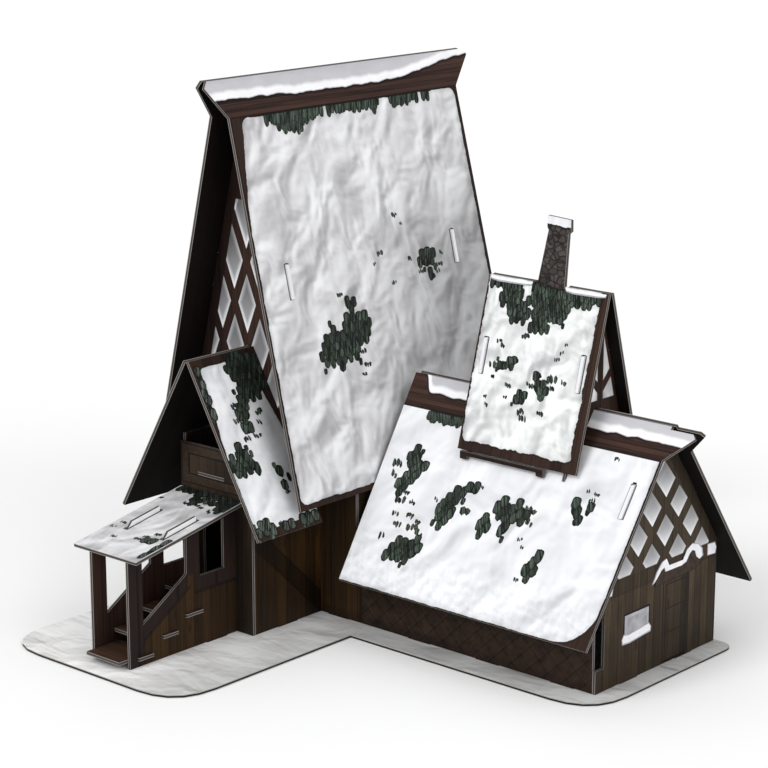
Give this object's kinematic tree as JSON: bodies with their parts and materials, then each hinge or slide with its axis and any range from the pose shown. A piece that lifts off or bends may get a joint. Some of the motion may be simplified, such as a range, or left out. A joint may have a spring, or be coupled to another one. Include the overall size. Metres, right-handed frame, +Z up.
{
  "type": "tabletop terrain lodge",
  "caption": "Snow-covered timber lodge of slotted printed card on an L-shaped base, with a steep hall, an entrance tower with a porch stair, a wing, a dormer and a chimney.",
  "frame": {"origin": "on the underside of the base card, near its inner corner, where the base is plain card", "axes": "+X to the right along the wing's ridge, +Y to the back along the hall's ridge, +Z up; seen from the porch end"},
  "size_m": [0.3256, 0.3148, 0.3165],
  "materials": {
    "snow_print": "matt printed card",
    "plank_print": "satin printed card",
    "lattice_print": "satin printed card",
    "stone_print": "matt printed card",
    "board_print": "satin printed card",
    "ground_print": "matt printed card"
  },
  "bodies": {
    "lodge": {"hall_and_wing_front_wall": "plank_print", "hall_rear_gable": "plank_print", "hall_left_wall": "plank_print", "hall_right_wall": "plank_print", "hall_loft_floor": "board_print", "hall_front_gable": "lattice_print", "hall_roof_right": "snow_print", "tower_front_wall": "board_print", "tower_left_wall": "plank_print", "tower_right_wall": "plank_print", "tower_floor": "board_print", "tower_roof_right": "snow_print", "tower_roof_left": "snow_print", "porch_left_wall": "plank_print", "porch_right_wall": "plank_print", "stair_tread_1": "plank_print", "stair_tread_2": "plank_print", "stair_tread_3": "plank_print", "stair_tread_4": "plank_print", "wing_gable": "plank_print", "wing_back_wall": "plank_print", "wing_roof_front": "snow_print", "wing_roof_back": "snow_print", "base_plate": "ground_print"},
    "dormer": {"dormer_roof_front": "snow_print", "dormer_roof_back": "snow_print", "dormer_gable_left": "lattice_print", "dormer_gable_right": "lattice_print", "dormer_sill_front": "board_print", "dormer_sill_back": "board_print"},
    "chimney": {"chimney": "stone_print"},
    "porch_roof": {"porch_roof": "snow_print"},
    "hall_roof_left": {"hall_roof_left": "snow_print"}
  },
  "joints": [
    {"name": "dormer_lift", "type": "slide", "parent": "lodge", "child": "dormer", "axis": [0, 0, 1], "range_m": [0, 0.04]},
    {"name": "chimney_lift", "type": "slide", "parent": "dormer", "child": "chimney", "axis": [0, 0, 1], "range_m": [0, 0.018]},
    {"name": "porch_roof_lift", "type": "slide", "parent": "lodge", "child": "porch_roof", "axis": [0, 0, 1], "range_m": [0, 0.02]},
    {"name": "hall_roof_left_pull", "type": "slide", "parent": "lodge", "child": "hall_roof_left", "axis": [-1, 0, 0], "range_m": [0, 0.012]}
  ]
}
